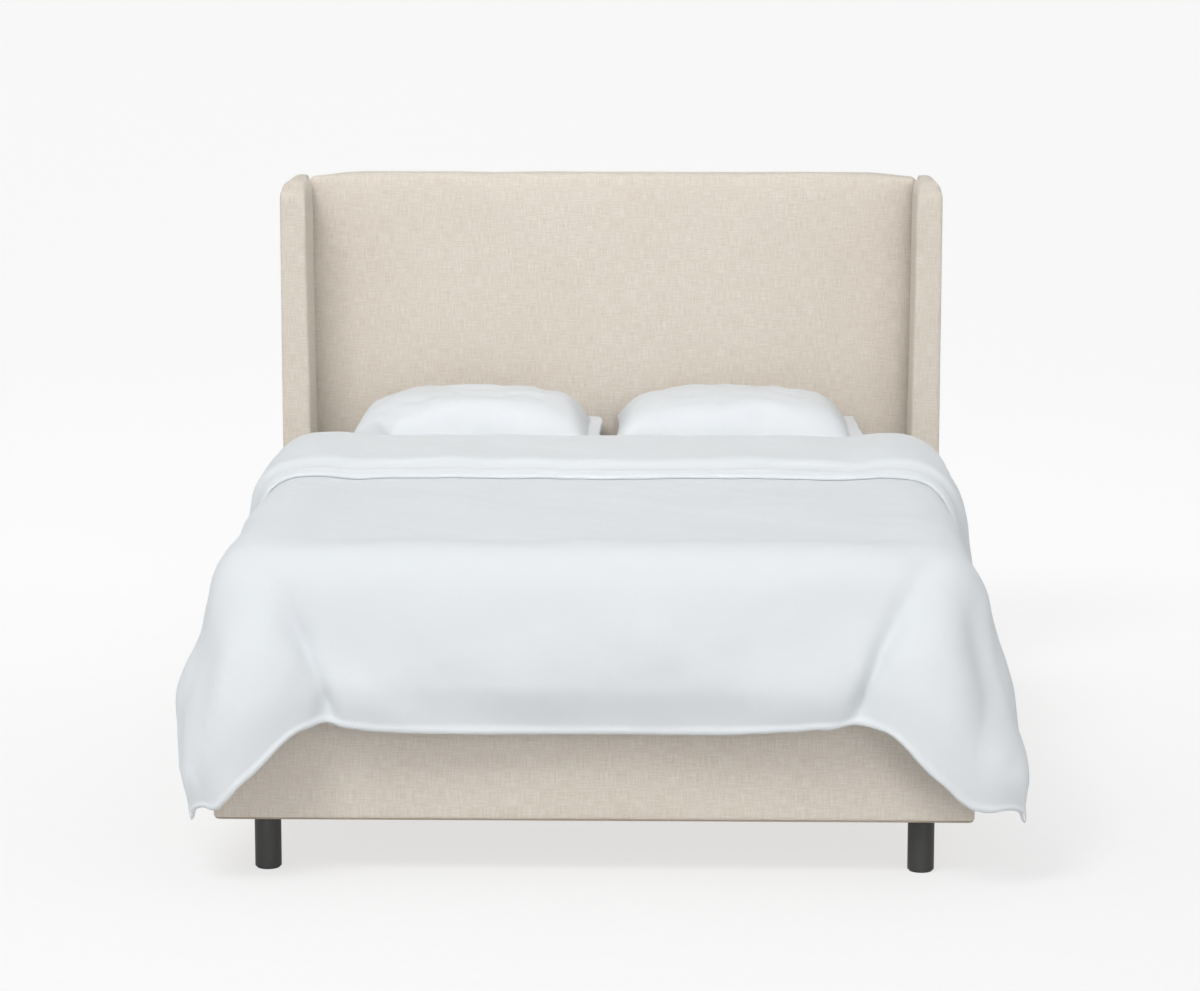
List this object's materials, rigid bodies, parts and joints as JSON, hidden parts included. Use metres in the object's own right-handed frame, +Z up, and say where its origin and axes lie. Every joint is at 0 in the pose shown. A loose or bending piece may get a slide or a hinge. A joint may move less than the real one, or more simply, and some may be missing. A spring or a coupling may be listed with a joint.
{
  "type": "upholstered headboard bed",
  "caption": "Queen-size bed with a linen-covered wing headboard and rails on dark round legs, made up with a sheet, a white duvet and pillows.",
  "frame": {"origin": "on the floor, under the middle of the made-up bed's footprint", "axes": "+Z up; +Y from the foot rail to the headboard; +X to the right of someone who stands at the foot and looks at the headboard"},
  "size_m": [1.83, 2.29, 1.345],
  "materials": {
    "pine": "sawn and planed pine, unfinished",
    "plywood": "plywood, sanded",
    "foam": "upholstery foam and wadding",
    "linen": "natural slubbed linen weave, matt",
    "black_wood": "black stained wood, satin lacquer",
    "black_plastic": "moulded glide",
    "zinc_steel": "zinc plated",
    "ticking": "woven mattress ticking with piped edges",
    "cotton_sheet": "white percale cotton",
    "cotton_duvet": "white cotton sateen over a down filling",
    "pillow_ticking": "plain cotton pillow",
    "cotton_case": "white cotton pillowcase"
  },
  "bodies": {
    "frame": {"headboard_stile_left": "pine", "headboard_stile_right": "pine", "headboard_top_rail": "pine", "headboard_middle_rail": "pine", "headboard_bottom_rail": "pine", "side_rail_left": "pine", "side_rail_right": "pine", "foot_rail": "pine", "corner_block_left": "pine", "corner_block_right": "pine", "slat_ledger_left": "pine", "slat_ledger_right": "pine", "centre_beam": "pine", "centre_post_foot": "pine", "centre_post_head": "pine", "slat_01": "pine", "slat_02": "pine", "slat_03": "pine", "slat_04": "pine", "slat_05": "pine", "slat_06": "pine", "slat_07": "pine", "slat_08": "pine", "slat_09": "pine", "slat_10": "pine", "headboard_plywood": "plywood", "wing_core_left": "plywood", "wing_core_right": "plywood", "headboard_foam": "foam", "wing_foam_left": "foam", "wing_foam_right": "foam", "headboard_cover": "linen", "headboard_back_cover": "linen", "wing_cover_left": "linen", "wing_cover_right": "linen", "side_rail_cover_left": "linen", "side_rail_cover_right": "linen", "foot_rail_cover": "linen", "leg_foot_left": "black_wood", "leg_foot_right": "black_wood", "leg_head_left": "black_wood", "leg_head_right": "black_wood", "leg_glides": "black_plastic", "leg_plates": "zinc_steel", "leg_bolts": "zinc_steel", "rail_hooks": "zinc_steel", "hook_sockets": "zinc_steel", "frame_bolts": "zinc_steel", "hardware_screws": "zinc_steel", "beam_saddles": "zinc_steel"},
    "centre_foot_near_foot": {"centre_glide_foot": "black_plastic"},
    "centre_foot_near_head": {"centre_glide_head": "black_plastic"},
    "mattress": {"mattress": "ticking", "fitted_sheet": "cotton_sheet"},
    "duvet": {"duvet": "cotton_duvet"},
    "pillow_left": {"pillow_left": "pillow_ticking", "pillowcase_left": "cotton_case"},
    "pillow_right": {"pillow_right": "pillow_ticking", "pillowcase_right": "cotton_case"}
  },
  "joints": [
    {"name": "mattress_lift", "type": "slide", "parent": "frame", "child": "mattress", "axis": [0, 0, 1], "range_m": [0, 0.3]},
    {"name": "duvet_lift", "type": "slide", "parent": "mattress", "child": "duvet", "axis": [0, 0, 1], "range_m": [0, 0.6]},
    {"name": "pillow_left_lift", "type": "slide", "parent": "mattress", "child": "pillow_left", "axis": [0, 0, 1], "range_m": [0, 0.4]},
    {"name": "pillow_right_lift", "type": "slide", "parent": "mattress", "child": "pillow_right", "axis": [0, 0, 1], "range_m": [0, 0.4]},
    {"name": "centre_foot_near_foot_screw", "type": "slide", "parent": "frame", "child": "centre_foot_near_foot", "axis": [0, 0, 1], "range_m": [0, 0.012]},
    {"name": "centre_foot_near_head_screw", "type": "slide", "parent": "frame", "child": "centre_foot_near_head", "axis": [0, 0, 1], "range_m": [0, 0.012]}
  ]
}
